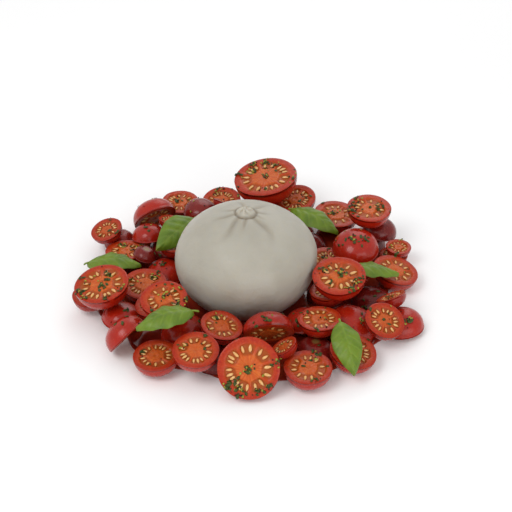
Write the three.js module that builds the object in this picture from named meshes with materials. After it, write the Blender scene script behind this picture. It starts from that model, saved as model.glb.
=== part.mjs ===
// A caprese salad: one burrata in a low bed of halved cherry tomatoes, with larger halves and basil leaves on top.
// Units are millimetres and +Z is up. The origin is the middle of the salad's footprint, on the surface it lies on.
//
// Every piece is a solid of its own. The burrata stands on the surface. Then the tomato halves and the leaves are
// laid one after another: each is lowered onto what already lies there and rolls a little, as far as it sinks.

import * as THREE from "three";
import { mergeVertices } from "three/addons/utils/BufferGeometryUtils.js";

const DEGREE = Math.PI / 180;

// ---------------------------------------------------------------------------------------------------------------
// Driving dimensions
// ---------------------------------------------------------------------------------------------------------------

// The burrata sags under its own weight: its widest level, the belly, is below the middle of its height.
const BURRATA = { x: -2, y: -4, radius: 41, height: 57.5, bellyHeight: 26, footRadius: 27 };
const NECK = { radius: 9, height: 3.2, pleats: 9, pleatDepth: 0.9, pleatReach: 30 };

const HALF_DEPTH = 0.84; // from the cut face to the end of the tomato, as a share of its radius
const HALF_ROUNDNESS = 2.25; // exponent of the half's outline: 2 is an ellipse, and more is squarer
const HALF_CENTRE = 0.38; // from the cut face to the centre of mass, as a share of the depth

// The arch is a share of a leaf's length, and the cup one of its width. The leaf is widest at fullest.
const LEAF = { thickness: 1.1, arch: 0.1, cup: 0.14, fullest: 0.43, bluntness: 0.85 };

const GAP = 0.35; // kept between neighbouring pieces

// The middles of the halves in the bed lie within reach of the salad's middle. A cut face that is up comes this
// near to the burrata's middle with its rim, and a half with its face down reaches farther in below the belly.
const BED = { reach: 88, rimFromBurrata: 38, footFromBurrata: 35 };

// The halves that fill the bed between the others lie on their cut faces.
const FILLING = { leastRoom: 19.6, nearest: 50, farthest: 84, diameter: 23.5, variation: 2 };

// The last small halves drop into the gaps that are left, each where its middle lies lowest.
const LATE = { most: 11, highest: 16, diameter: 21, variation: 1 };

// Halves that face the same way lie side by side. One that faces down lets its neighbour's rim in over its slope.
const SIDE_BY_SIDE = { sameWay: 1, otherWay: 0.87, rounds: 120, heldPlace: 0.06, fillingGives: 0.85 };

// A half's place on the bed is its compass angle (0 is +X, 90 is +Y) and its distance from the middle.
// Its cut face leans by tilt degrees from facing straight up, towards the compass angle towards.
const half = (angle, distance, diameter, tilt, towards) => ({ angle, distance, diameter, tilt, towards });

// The one that stands at the front edge with its cut face to the front.
const FRONT_HALF = half(270, 92, 33, 54, 270);

const BED_HALVES = [
  half(17, 50, 26, 12, 300), // against the burrata, on the right
  half(49, 85, 28, 15, 320),
  half(66, 80, 26, 20, 215),
  half(101, 80, 25, 20, 255), // behind the burrata
  half(118, 92, 24, 14, 290),
  half(134, 84, 28, 113, 300), // on its side, skin to the back
  half(161, 78, 25, 14, 110),
  half(166, 58, 23, 166, 30),
  half(186, 56, 26, 16, 285),
  half(205, 78, 24, 158, 210),
  half(219, 85, 25, 118, 330), // on its side, cut face to the right
  half(239, 86, 25, 14, 235),
  half(238, 60, 26, 162, 60),
  half(254, 86, 25, 20, 262),
  half(283, 57, 29, 112, 275), // on its side, in front of the burrata
  half(289, 86, 26, 14, 275),
  half(309, 46, 23, 160, 300),
  half(309, 94, 26, 24, 320),
  half(321, 64, 28, 158, 140),
  half(331, 86, 25, 164, 330),
  half(360, 82, 27, 24, 335),
  half(16, 70, 28, 162, 60),
];

const TOP_HALVES = {
  top_half_back: half(82, 80, 40, 9, 268),
  top_half_right_back: half(30, 84, 27, 8, 280),
  top_half_right: half(329, 58, 30, 18, 262),
  top_half_left: half(200, 85, 31, 17, 250),
  top_half_centre_left: half(224, 64, 26, 16, 285),
};

// A leaf points along heading, from stalk end to tip. Its tip is raised by pitch, and roll turns it about its length.
const leaf = (angle, distance, length, width, heading, pitch, roll) => ({
  angle,
  distance,
  length,
  width,
  heading,
  pitch,
  roll,
});

const BASIL_LEAVES = [
  leaf(173, 80, 33, 17, 352, 4, 0),
  leaf(150, 49, 36, 19, 234, -14, -32), // leans on the burrata
  leaf(52, 62, 34, 17, 330, -4, 10),
  leaf(234, 77, 32, 18, 197, 0, 0),
  leaf(305, 91, 32, 16, 283, -36, 0), // hangs over the edge of the bed
];
const TUCKED_LEAF = leaf(353, 72, 31, 16, 4, 0, 0); // one of the halves lies on it

// Mesh fineness
const HALF_SECTORS = 12;
const HALF_ARC_STEPS = 4;
const LEAF_SECTORS = 12;
const LEAF_STATIONS = 9;
const BURRATA_SECTORS = 36;
const BURRATA_STEPS = 6;

const MATERIALS = {
  burrata: new THREE.MeshStandardMaterial({ color: 0xd9d5c8, roughness: 0.5, metalness: 0 }),
  skin: new THREE.MeshStandardMaterial({ color: 0xb4241a, roughness: 0.25, metalness: 0 }),
  basil: new THREE.MeshStandardMaterial({ color: 0x5f9433, roughness: 0.55, metalness: 0 }),
};

// ---------------------------------------------------------------------------------------------------------------
// Small helpers
// ---------------------------------------------------------------------------------------------------------------

/** A closed geometry: only positions are kept, and vertices at one place are merged. */
function closed(geometry) {
  geometry.deleteAttribute("normal");
  geometry.deleteAttribute("uv");
  return mergeVertices(geometry, 1e-4);
}

/** Turns a lathe, which runs round +Y, so that it runs round +Z. */
function upright(geometry) {
  return geometry.rotateX(90 * DEGREE);
}

/** A point on the bed from its compass angle and its distance from the middle. */
function onBed({ angle, distance }) {
  return new THREE.Vector2(distance * Math.cos(angle * DEGREE), distance * Math.sin(angle * DEGREE));
}

/** The turn that tips +Z over by tilt degrees towards a compass angle. */
function tipped(tilt, towards) {
  const axis = new THREE.Vector3(-Math.sin(towards * DEGREE), Math.cos(towards * DEGREE), 0);
  return new THREE.Quaternion().setFromAxisAngle(axis, tilt * DEGREE);
}

/** Evenly spread numbers from -1 to 1 that follow no pattern the eye can see. */
function spread(index) {
  const goldenShare = (Math.sqrt(5) - 1) / 2;
  return 2 * ((index * goldenShare) % 1) - 1;
}

// ---------------------------------------------------------------------------------------------------------------
// The burrata
// ---------------------------------------------------------------------------------------------------------------

// The lower part is an ellipse that the surface cuts off flat at footRadius.
const FOOT_ANGLE = Math.acos(BURRATA.footRadius / BURRATA.radius);
const LOWER_DROP = BURRATA.bellyHeight / Math.sin(FOOT_ANGLE);
const UPPER_RISE = BURRATA.height - NECK.height - BURRATA.bellyHeight;

/** The burrata's radius at a height above the surface, without its neck. */
function burrataRadiusAt(height) {
  const above = height - BURRATA.bellyHeight;
  const share = above > 0 ? above / UPPER_RISE : above / LOWER_DROP;
  return Math.abs(share) < 1 ? BURRATA.radius * Math.sqrt(1 - share * share) : 0;
}

/** Half of the burrata's outline, from the middle of its foot to its top. */
function burrataOutline() {
  const points = [new THREE.Vector2(0, 0)];
  for (let i = 0; i <= BURRATA_STEPS; i++) {
    const a = FOOT_ANGLE * (1 - i / BURRATA_STEPS);
    points.push(new THREE.Vector2(BURRATA.radius * Math.cos(a), BURRATA.bellyHeight - LOWER_DROP * Math.sin(a)));
  }
  const steps = 2 * BURRATA_STEPS;
  for (let i = 1; i < steps; i++) {
    const a = (90 * DEGREE * i) / steps;
    points.push(new THREE.Vector2(BURRATA.radius * Math.cos(a), BURRATA.bellyHeight + UPPER_RISE * Math.sin(a)));
  }
  points.push(new THREE.Vector2(0, BURRATA.bellyHeight + UPPER_RISE));
  return points;
}

/** Gathers the top into its tied neck, with pleats that run out from it and fade down the shoulder. */
function gatherNeck(x, y, z) {
  const out = Math.hypot(x, y);
  if (z <= BURRATA.bellyHeight || out > NECK.pleatReach) return z;
  const bump = Math.exp(-((out / NECK.radius) ** 2));
  const fade = Math.sin((Math.PI * out) / NECK.pleatReach) ** 2;
  return z + NECK.height * bump + NECK.pleatDepth * fade * Math.cos(NECK.pleats * Math.atan2(y, x));
}

function makeBurrata() {
  const geometry = upright(new THREE.LatheGeometry(burrataOutline(), BURRATA_SECTORS));
  const position = geometry.getAttribute("position");
  for (let i = 0; i < position.count; i++) {
    const z = gatherNeck(position.getX(i), position.getY(i), position.getZ(i));
    position.setZ(i, z);
  }
  const mesh = new THREE.Mesh(closed(geometry), MATERIALS.burrata);
  mesh.name = "burrata";
  mesh.position.set(BURRATA.x, BURRATA.y, 0);
  return mesh;
}

/** True if a point is inside the burrata or closer to it than the gap. */
function nearBurrata(point) {
  const out = Math.hypot(point.x - BURRATA.x, point.y - BURRATA.y);
  return out < burrataRadiusAt(point.z) + GAP && point.z < BURRATA.height;
}

// ---------------------------------------------------------------------------------------------------------------
// Shapes: a geometry, the points of its true surface that can touch a neighbour, and its centre of mass
// ---------------------------------------------------------------------------------------------------------------

const TOUCH_SPACING = 0.8; // between the points that can touch

/** A point of the half's outline: share 0 is the rim of the cut face, and share 1 is the end of the tomato. */
function halfOutline(radius, share) {
  const a = 90 * DEGREE * share;
  const power = 2 / HALF_ROUNDNESS;
  const out = share < 1 ? radius * Math.cos(a) ** power : 0;
  return new THREE.Vector2(out, -HALF_DEPTH * radius * Math.sin(a) ** power);
}

/** The points of a circle of this radius at this height, the touch spacing apart. */
function circlePoints(radius, height) {
  const count = Math.max(1, Math.ceil((2 * Math.PI * radius) / TOUCH_SPACING));
  return Array.from({ length: count }, (_, i) => {
    const a = (2 * Math.PI * i) / count;
    return new THREE.Vector3(radius * Math.cos(a), radius * Math.sin(a), height);
  });
}

/** Half of a cherry tomato. Its cut face lies in the plane z = 0 and faces up. */
function tomatoHalf(diameter) {
  const radius = diameter / 2;
  const outline = [];
  for (let i = HALF_ARC_STEPS; i >= 0; i--) outline.push(halfOutline(radius, i / HALF_ARC_STEPS));
  outline.push(new THREE.Vector2(0, 0));
  const geometry = closed(upright(new THREE.LatheGeometry(outline, HALF_SECTORS)));

  const touch = [];
  const rings = Math.ceil((radius * 2) / TOUCH_SPACING);
  for (let i = 0; i <= rings; i++) {
    const { x, y } = halfOutline(radius, i / rings);
    touch.push(...circlePoints(x, y), ...circlePoints((radius * i) / rings, 0));
  }
  const centre = new THREE.Vector3(0, 0, -HALF_CENTRE * HALF_DEPTH * radius);
  return { geometry, touch, centre, material: MATERIALS.skin };
}

/** Half of a leaf's width at a share of its length, where 0 is the stalk end and 1 the tip. */
function leafHalfWidth(width, share) {
  const fullness = Math.log(0.5) / Math.log(LEAF.fullest);
  return 0.5 * width * Math.sin(Math.PI * share ** fullness) ** LEAF.bluntness;
}

/** A point on a leaf's middle surface. across goes from -1 to 1. The leaf arches along its length and is cupped. */
function leafPoint(length, width, share, across) {
  const y = across * leafHalfWidth(width, share);
  const fall = LEAF.arch * length * (2 * share - 1) ** 2 + LEAF.cup * width * across ** 2;
  return new THREE.Vector3(length * (share - 0.5), y, -fall);
}

/** A basil leaf along +X with its upper face up: a ball drawn out flat, with one pole at the stalk end. */
function basilLeaf(length, width) {
  const geometry = new THREE.SphereGeometry(1, LEAF_SECTORS, LEAF_STATIONS);
  const position = geometry.getAttribute("position");
  for (let i = 0; i < position.count; i++) {
    const share = Math.acos(THREE.MathUtils.clamp(position.getY(i), -1, 1)) / Math.PI;
    const girth = Math.hypot(position.getX(i), position.getZ(i));
    const across = girth > 1e-6 ? position.getX(i) / girth : 0;
    const above = girth > 1e-6 ? position.getZ(i) / girth : 0;
    const point = leafPoint(length, width, share, across);
    point.z += 0.5 * LEAF.thickness * above * girth;
    position.setXYZ(i, point.x, point.y, point.z);
  }
  const touch = [];
  const alongCount = Math.ceil(length / TOUCH_SPACING);
  const acrossCount = Math.ceil(width / TOUCH_SPACING);
  for (let i = 0; i <= alongCount; i++) {
    for (let j = 0; j <= acrossCount; j++) {
      const point = leafPoint(length, width, i / alongCount, (2 * j) / acrossCount - 1);
      touch.push(point.clone().setZ(point.z - 0.5 * LEAF.thickness));
      touch.push(point.setZ(point.z + 0.5 * LEAF.thickness));
    }
  }
  return { geometry: closed(geometry), touch, centre: new THREE.Vector3(), material: MATERIALS.basil };
}

// ---------------------------------------------------------------------------------------------------------------
// Laying the pieces
// ---------------------------------------------------------------------------------------------------------------

/** The top of the heap so far, as heights above the surface on a square grid. */
class HeapTop {
  constructor(reach, cell) {
    this.cell = cell;
    this.middle = Math.ceil(reach / cell);
    this.side = 2 * this.middle + 1;
    this.heights = new Float32Array(this.side * this.side);
  }

  indexOf(column, row) {
    return (row + this.middle) * this.side + column + this.middle;
  }

  /** The highest of the four cells round a point. */
  heightAt(x, y) {
    const column = Math.floor(x / this.cell);
    const row = Math.floor(y / this.cell);
    const low = this.indexOf(column, row);
    const high = this.indexOf(column, row + 1);
    return Math.max(this.heights[low], this.heights[low + 1], this.heights[high], this.heights[high + 1]);
  }

  /** Raises the cell nearest to a point to that point. */
  cover(point) {
    const index = this.indexOf(Math.round(point.x / this.cell), Math.round(point.y / this.cell));
    this.heights[index] = Math.max(this.heights[index], point.z);
  }
}

const heap = new HeapTop(130, 0.8);

/** The touch points of a shape at a seat, which is {x, y, turn}, in space. They are still at their own height. */
function touchPointsAt(shape, seat) {
  return shape.touch.map((point) => {
    const placed = point.clone().applyQuaternion(seat.turn);
    placed.x += seat.x;
    placed.y += seat.y;
    return placed;
  });
}

/** How far a shape at a seat is lifted so that it rests on the heap, or Infinity if it would be in the burrata. */
function liftAt(shape, seat) {
  const points = touchPointsAt(shape, seat);
  let lift = -Infinity;
  for (const point of points) {
    const below = heap.heightAt(point.x, point.y);
    lift = Math.max(lift, below - point.z + (below > 0 ? GAP : 0));
  }
  for (const point of points) {
    point.z += lift;
    if (nearBurrata(point)) return Infinity;
  }
  return lift;
}

/** The height of a shape's centre of mass when it rests at a seat. */
function centreHeight(shape, seat) {
  return liftAt(shape, seat) + shape.centre.clone().applyQuaternion(seat.turn).z;
}

/** Every small slide and roll from a seat. */
function smallMoves(seat, slide, roll) {
  const moves = [];
  for (const sign of [-1, 1]) {
    moves.push({ ...seat, x: seat.x + sign * slide });
    moves.push({ ...seat, y: seat.y + sign * slide });
    for (const axis of [new THREE.Vector3(1, 0, 0), new THREE.Vector3(0, 1, 0)]) {
      const turn = new THREE.Quaternion().setFromAxisAngle(axis, sign * roll * DEGREE).multiply(seat.turn);
      moves.push({ ...seat, turn });
    }
  }
  return moves;
}

/** Moves a seat out from the burrata until its shape is clear of it. */
function clearOfBurrata(shape, seat) {
  const outward = new THREE.Vector2(seat.x - BURRATA.x, seat.y - BURRATA.y).normalize();
  const clear = { ...seat };
  while (liftAt(shape, clear) === Infinity) {
    clear.x += 0.5 * outward.x;
    clear.y += 0.5 * outward.y;
  }
  return clear;
}

/** Lets a shape slide and roll from its first seat for as long as that lowers its centre of mass. */
function settle(shape, first, { slides, rolls, farthestSlide, farthestRoll }) {
  const start = clearOfBurrata(shape, first);
  let best = start;
  let height = centreHeight(shape, best);
  slides.forEach((slide, i) => {
    for (let moved = true; moved; ) {
      moved = false;
      for (const seat of smallMoves(best, slide, rolls[i])) {
        const tooFar = Math.hypot(seat.x - start.x, seat.y - start.y) > farthestSlide;
        if (tooFar || seat.turn.angleTo(start.turn) > farthestRoll * DEGREE) continue;
        const tried = centreHeight(shape, seat);
        if (tried < height - 0.02) {
          best = seat;
          height = tried;
          moved = true;
        }
      }
    }
  });
  return best;
}

const FIXED = { slides: [], rolls: [], farthestSlide: 0, farthestRoll: 0 };
const LOOSE = { slides: [3, 1.5, 0.7], rolls: [8, 4, 2], farthestSlide: 7, farthestRoll: 10 };
const SNUG = { slides: [1, 0.5], rolls: [4, 2], farthestSlide: 2, farthestRoll: 9 };

/** Lays a shape on the heap and gives back its mesh. */
function lay(name, shape, seat, freedom) {
  const found = settle(shape, seat, freedom);
  const lift = liftAt(shape, found);
  for (const point of touchPointsAt(shape, found)) {
    point.z += lift;
    heap.cover(point);
  }
  const mesh = new THREE.Mesh(shape.geometry, shape.material);
  mesh.name = name;
  mesh.position.set(found.x, found.y, lift);
  mesh.quaternion.copy(found.turn);
  return mesh;
}

function layHalf(name, place, freedom) {
  const { x, y } = onBed(place);
  return lay(name, tomatoHalf(place.diameter), { x, y, turn: tipped(place.tilt, place.towards) }, freedom);
}

function layLeaf(name, place) {
  const { x, y } = onBed(place);
  const turn = new THREE.Quaternion().setFromEuler(
    new THREE.Euler(place.roll * DEGREE, -place.pitch * DEGREE, place.heading * DEGREE, "ZYX"),
  );
  return lay(name, basilLeaf(place.length, place.width), { x, y, turn }, SNUG);
}

/** Where on the bed a half would lie lowest, with its cut face up or down. */
function lowestPlace(diameter) {
  const shape = tomatoHalf(diameter);
  let lowest = LATE.highest;
  let best = null;
  for (let distance = FILLING.nearest; distance <= BED.reach; distance += 3) {
    for (let angle = 0; angle < 360; angle += 4) {
      for (const tilt of [0, 180]) {
        const place = half(angle, distance, diameter, tilt, 0);
        const { x, y } = onBed(place);
        const height = centreHeight(shape, { x, y, turn: tipped(tilt, 0) });
        if (height < lowest) {
          lowest = height;
          best = place;
        }
      }
    }
  }
  return best;
}

const facesUp = (place) => place.tilt < 90;

/** Nudges the halves of the bed apart in plan. Those that fill it give way, and the others keep near their places. */
function sideBySide(places, fillingStart) {
  const spots = places.map(onBed);
  const own = places.map(onBed);
  const foot = new THREE.Vector2(BURRATA.x, BURRATA.y);
  for (let round = 0; round < SIDE_BY_SIDE.rounds; round++) {
    const held = SIDE_BY_SIDE.heldPlace * (1 - round / SIDE_BY_SIDE.rounds);
    for (let i = 0; i < places.length; i++) {
      if (i < fillingStart) spots[i].lerp(own[i], held);
      for (let j = 0; j < i; j++) {
        const share = facesUp(places[i]) === facesUp(places[j]) ? SIDE_BY_SIDE.sameWay : SIDE_BY_SIDE.otherWay;
        const wanted = (share * (places[i].diameter + places[j].diameter)) / 2;
        const apart = spots[i].clone().sub(spots[j]);
        const missing = wanted - apart.length();
        if (missing <= 0) continue;
        const gives = (i < fillingStart) === (j < fillingStart) ? 0.5 : SIDE_BY_SIDE.fillingGives;
        apart.setLength(missing);
        spots[i].addScaledVector(apart, gives);
        spots[j].addScaledVector(apart, gives - 1);
      }
      const out = spots[i].clone().sub(foot);
      const least = places[i].diameter / 2 + (facesUp(places[i]) ? BED.rimFromBurrata : BED.footFromBurrata);
      if (out.length() < least) spots[i].copy(foot).add(out.setLength(least));
    }
    spots.forEach((spot) => spot.clampLength(0, BED.reach));
    spots[0].copy(own[0]);
  }
  return places.map((place, i) => ({
    ...place,
    angle: spots[i].angle() / DEGREE,
    distance: spots[i].length(),
  }));
}

/** Places for the halves that fill the bed. Each one is as far as it can be from those that have a place. */
function fillingHalves() {
  const taken = [FRONT_HALF, ...BED_HALVES].map(onBed);
  const places = [];
  for (;;) {
    let widest = FILLING.leastRoom;
    let best = null;
    for (let distance = FILLING.nearest; distance <= FILLING.farthest; distance += 1) {
      for (let angle = 0; angle < 360; angle += 1) {
        const spot = onBed({ angle, distance });
        const room = Math.min(...taken.map((other) => other.distanceTo(spot)));
        if (room > widest) {
          widest = room;
          best = { angle, distance, spot };
        }
      }
    }
    if (!best) return places;
    const diameter = FILLING.diameter + FILLING.variation * spread(places.length);
    places.push(half(best.angle, best.distance, diameter, 180, 0));
    taken.push(best.spot);
  }
}

const twoDigits = (number) => String(number).padStart(2, "0");

const salad = new THREE.Group();
salad.add(makeBurrata());
const fillingStart = 1 + BED_HALVES.length;
const bed = sideBySide([FRONT_HALF, ...BED_HALVES, ...fillingHalves()], fillingStart);
salad.add(layHalf("top_half_front", bed[0], FIXED));
bed.slice(fillingStart).forEach((place, i) => salad.add(layHalf(`under_half_${twoDigits(i + 1)}`, place, LOOSE)));
bed.slice(1, fillingStart).forEach((place, i) => salad.add(layHalf(`bed_half_${twoDigits(i + 1)}`, place, LOOSE)));
for (let i = 0; i < LATE.most; i++) {
  const place = lowestPlace(LATE.diameter + LATE.variation * spread(i));
  if (place) salad.add(layHalf(`small_half_${twoDigits(i + 1)}`, place, LOOSE));
}
salad.add(layLeaf("basil_leaf_under", TUCKED_LEAF));
Object.entries(TOP_HALVES).forEach(([name, place]) => salad.add(layHalf(name, place, SNUG)));
BASIL_LEAVES.forEach((place, i) => salad.add(layLeaf(`basil_leaf_${i + 1}`, place)));

// The origin goes to the middle of the footprint.
const footprint = new THREE.Box3().setFromObject(salad, true);
const middle = footprint.getCenter(new THREE.Vector3());
salad.position.set(-middle.x, -middle.y, 0);

export default salad;
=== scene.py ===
# %% [markdown]
# # A caprese salad
#
# One whole burrata lies in a low bed of halved cherry tomatoes. Larger halves and basil leaves lie on top,
# with chopped herbs and ground pepper over them, and a little tomato juice has run out between the halves.
#
# The frame holds each piece as a plain solid that already lies in its place. This lesson reads where each
# solid lies and how it is turned, and then makes the finished piece there. Everything is in metres, and +Z
# is up.

# %% The frame and the sizes that everything shares
import math
import random

import bpy
import numpy as np
from mathutils import Matrix, Vector, noise
from mathutils.bvhtree import BVHTree
from mathutils.kdtree import KDTree


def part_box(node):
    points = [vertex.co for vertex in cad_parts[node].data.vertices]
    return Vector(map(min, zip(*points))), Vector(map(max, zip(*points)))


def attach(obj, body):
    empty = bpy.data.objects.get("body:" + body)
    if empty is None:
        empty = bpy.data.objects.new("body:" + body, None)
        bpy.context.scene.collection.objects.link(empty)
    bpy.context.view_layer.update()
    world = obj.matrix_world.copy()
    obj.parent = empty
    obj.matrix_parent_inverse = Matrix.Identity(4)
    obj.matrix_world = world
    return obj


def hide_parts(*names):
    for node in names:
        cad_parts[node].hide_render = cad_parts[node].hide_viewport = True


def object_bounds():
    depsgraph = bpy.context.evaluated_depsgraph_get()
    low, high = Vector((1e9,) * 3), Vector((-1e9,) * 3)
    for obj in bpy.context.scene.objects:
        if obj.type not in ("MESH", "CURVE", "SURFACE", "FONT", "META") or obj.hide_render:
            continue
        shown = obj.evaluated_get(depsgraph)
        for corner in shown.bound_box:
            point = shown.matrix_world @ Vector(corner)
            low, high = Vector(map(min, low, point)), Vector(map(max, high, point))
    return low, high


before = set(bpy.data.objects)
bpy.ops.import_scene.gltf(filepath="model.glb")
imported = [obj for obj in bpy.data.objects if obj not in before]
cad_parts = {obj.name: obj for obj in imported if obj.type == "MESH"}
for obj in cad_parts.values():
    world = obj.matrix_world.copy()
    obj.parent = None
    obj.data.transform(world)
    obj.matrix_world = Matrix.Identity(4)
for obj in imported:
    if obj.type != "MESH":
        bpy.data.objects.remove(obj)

MM = 0.001
cad_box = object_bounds()
salad_low, salad_high = (Vector(corner) for corner in cad_box)
burrata_low, burrata_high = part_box("burrata")
burrata_middle = (burrata_low + burrata_high) / 2
print("pieces in the frame:", len(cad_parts))
print("size in mm:", [round(v / MM, 1) for v in salad_high - salad_low])

# %% [markdown]
# ## Camera
#
# The salad is looked at from the front and from above, as by someone who is about to eat it. A long lens
# from a good way off keeps the round bed from looking stretched. An empty object could hold the aim with a
# Track To constraint, but turning the camera once, by the direction it looks in, leaves nothing behind to
# keep in step.

# %% Camera
LENS_MM = 85
CAMERA_ELEVATION = math.radians(34.4)
CAMERA_DISTANCE = 0.7
AIM_ASIDE = 5.8 * MM
AIM_BACK = 8.8 * MM
AIM_HEIGHT = 20 * MM

aim = Vector((burrata_middle.x + AIM_ASIDE, burrata_middle.y + AIM_BACK, AIM_HEIGHT))
looking = Vector((0, math.cos(CAMERA_ELEVATION), -math.sin(CAMERA_ELEVATION)))
camera_data = bpy.data.cameras.new("camera")
camera_data.lens = LENS_MM
camera = bpy.data.objects.new("camera", camera_data)
camera.location = aim - CAMERA_DISTANCE * looking
camera.rotation_euler = looking.to_track_quat("-Z", "Y").to_euler()
bpy.context.scene.collection.objects.link(camera)
bpy.context.scene.camera = camera
print("camera at", [round(v, 3) for v in camera.location])

# %% [markdown]
# ## Floor and light
#
# Food looks fresh under one large soft light, as from a window, with a pale room around it that lifts the
# shadows. A sky texture would tint the white cheese, so the room is one plain colour. The Standard view
# keeps the strong reds of the tomatoes, which a filmic view would wash out.

# %% Floor and light
FLOOR_BELOW = 0.1 * MM
FLOOR_SIZE = 6.0
FLOOR_WHITE = 0.95
ROOM_WHITE = 0.78


def lamp(name, size, power, place, target):
    """A square soft light that faces its target."""
    data = bpy.data.lights.new(name, "AREA")
    data.size = size
    data.energy = power
    light = bpy.data.objects.new(name, data)
    light.location = place
    light.rotation_euler = (Vector(target) - Vector(place)).to_track_quat("-Z", "Y").to_euler()
    bpy.context.scene.collection.objects.link(light)
    return light


bpy.ops.mesh.primitive_plane_add(size=FLOOR_SIZE, location=(0, 0, -FLOOR_BELOW))
floor = bpy.context.object
floor.name = "floor"
floor_material = bpy.data.materials.new("pale_floor")
floor_material.use_nodes = True
floor_shader = floor_material.node_tree.nodes["Principled BSDF"]
floor_shader.inputs["Base Color"].default_value = (FLOOR_WHITE, FLOOR_WHITE, FLOOR_WHITE, 1)
floor_shader.inputs["Roughness"].default_value = 0.9
floor_shader.inputs["Specular IOR Level"].default_value = 0.1
floor.data.materials.append(floor_material)

key = lamp("key", size=0.5, power=4.0, place=(-0.5, -0.5, 0.9), target=(0, 0, 0))
fill = lamp("fill", size=0.8, power=3.4, place=(0.45, -0.9, 0.2), target=(0, 0, 0.03))
back = lamp("back", size=0.6, power=1.6, place=(0.2, 0.95, 0.7), target=(0, 0, 0))

world = bpy.data.worlds.new("pale_room")
world.use_nodes = True
world.node_tree.nodes["Background"].inputs["Color"].default_value = (1.0, 1.0, 1.0, 1)
world.node_tree.nodes["Background"].inputs["Strength"].default_value = ROOM_WHITE
bpy.context.scene.world = world
bpy.context.scene.view_settings.view_transform = "Standard"
print("lamps:", key.name, fill.name, back.name)

# %% [markdown]
# ## Writing shaders as sums
#
# A shader is a net of nodes, and a pattern is mostly arithmetic. Adding each Math node by hand hides the
# sum that it stands for. The class below wraps one output socket, so that `1 - mask * 0.5` adds the nodes
# itself. Colours go through Mix nodes, because a Math node turns a colour grey.

# %% A socket that can be added and multiplied
class Sum:
    """One output socket of a material. Arithmetic on it adds Math nodes."""

    def __init__(self, material, socket):
        self.material = material
        self.socket = socket

    def math(self, operation, first, second=0.0):
        return self.material.node("ShaderNodeMath", {"operation": operation}, {0: first, 1: second})

    def __add__(self, other):
        return self.math("ADD", self, other)

    def __sub__(self, other):
        return self.math("SUBTRACT", self, other)

    def __rsub__(self, other):
        return self.math("SUBTRACT", other, self)

    def __mul__(self, other):
        return self.math("MULTIPLY", self, other)


class Finish:
    """A material made by naming what changes over its surface."""

    def __init__(self, name, **constants):
        self.data = bpy.data.materials.new(name)
        self.data.use_nodes = True
        self.tree = self.data.node_tree
        self.shader = self.tree.nodes["Principled BSDF"]
        for socket_name, value in constants.items():
            self.shader.inputs[socket_name.replace("_", " ")].default_value = value

    def glow(self, weight, reach, scale):
        """Lets light spread under the surface, by this share and this far for red, green and blue."""
        self.shader.inputs["Subsurface Weight"].default_value = weight
        self.shader.inputs["Subsurface Radius"].default_value = reach
        self.shader.inputs["Subsurface Scale"].default_value = scale

    def node(self, kind, settings=None, inputs=None, output=0):
        """Adds a node. Its settings are set first, and then each socket gets a value or a link."""
        made = self.tree.nodes.new(kind)
        for setting, value in (settings or {}).items():
            setattr(made, setting, value)
        for socket_name, value in (inputs or {}).items():
            if isinstance(value, Sum):
                self.tree.links.new(value.socket, made.inputs[socket_name])
            else:
                made.inputs[socket_name].default_value = value
        return Sum(self, made.outputs[output])

    def painted(self, attribute, output="Fac"):
        """What was stored on the mesh under this name."""
        return self.node("ShaderNodeAttribute", {"attribute_name": attribute}, output=output)

    def speckle(self, scale, detail=2.0, roughness=0.5, at=None):
        """Soft noise from 0 to 1. Its scale is in spots to a metre."""
        place = at or self.node("ShaderNodeTexCoord", output="Object")
        inputs = {"Vector": place, "Scale": scale, "Detail": detail, "Roughness": roughness}
        return self.node("ShaderNodeTexNoise", {"normalize": True}, inputs)

    def ease(self, value, low, high):
        """0 up to low, 1 from high on, and a smooth step between them."""
        inputs = {"Value": value, "From Min": low, "From Max": high}
        return self.node("ShaderNodeMapRange", {"interpolation_type": "SMOOTHSTEP"}, inputs)

    def mix(self, share, first, second):
        """The first colour at share 0 and the second at share 1."""
        inputs = {0: share, 6: colour(first), 7: colour(second)}
        return self.node("ShaderNodeMix", {"data_type": "RGBA"}, inputs, output=2)

    def bump(self, height, depth):
        """A normal from a height from 0 to 1, where 1 stands this many metres out."""
        return self.node("ShaderNodeBump", {}, {"Height": height, "Distance": depth, "Strength": 1.0})

    def paint(self, **sockets):
        """Links what changes over the surface to the shader."""
        for socket_name, value in sockets.items():
            self.tree.links.new(value.socket, self.shader.inputs[socket_name.replace("_", " ")])
        return self.data


def colour(value):
    """Colours are written as three numbers, and a socket wants four."""
    return value if isinstance(value, Sum) else (*value, 1.0)


print("shader helpers ready")

# %% [markdown]
# ## Tomato finishes
#
# A ripe cherry tomato has a thin, glossy, deep red skin. Halved, it shows a bright red wall, paler and more
# orange towards the middle, a ring of wet gel that holds the seeds, and a pale, fibrous core. These blend
# into each other without sharp borders. Separate materials would meet in hard lines, so one finish covers
# the whole cut face, and the mesh carries two things for it: `ray`, the direction from the middle with the
# distance as its third number, and `gel`, which is 1 in a seed chamber.

# %% Tomato skin
SKIN_BRIGHT = (0.36, 0.012, 0.003)
# darker red for random patches, and painted shade for halves deep in the heap or lying cut down
SKIN_DARK_PATCHES_AND_SHADE = (0.15, 0.007, 0.006)
SCAR_TAN = (0.22, 0.12, 0.035)

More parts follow.
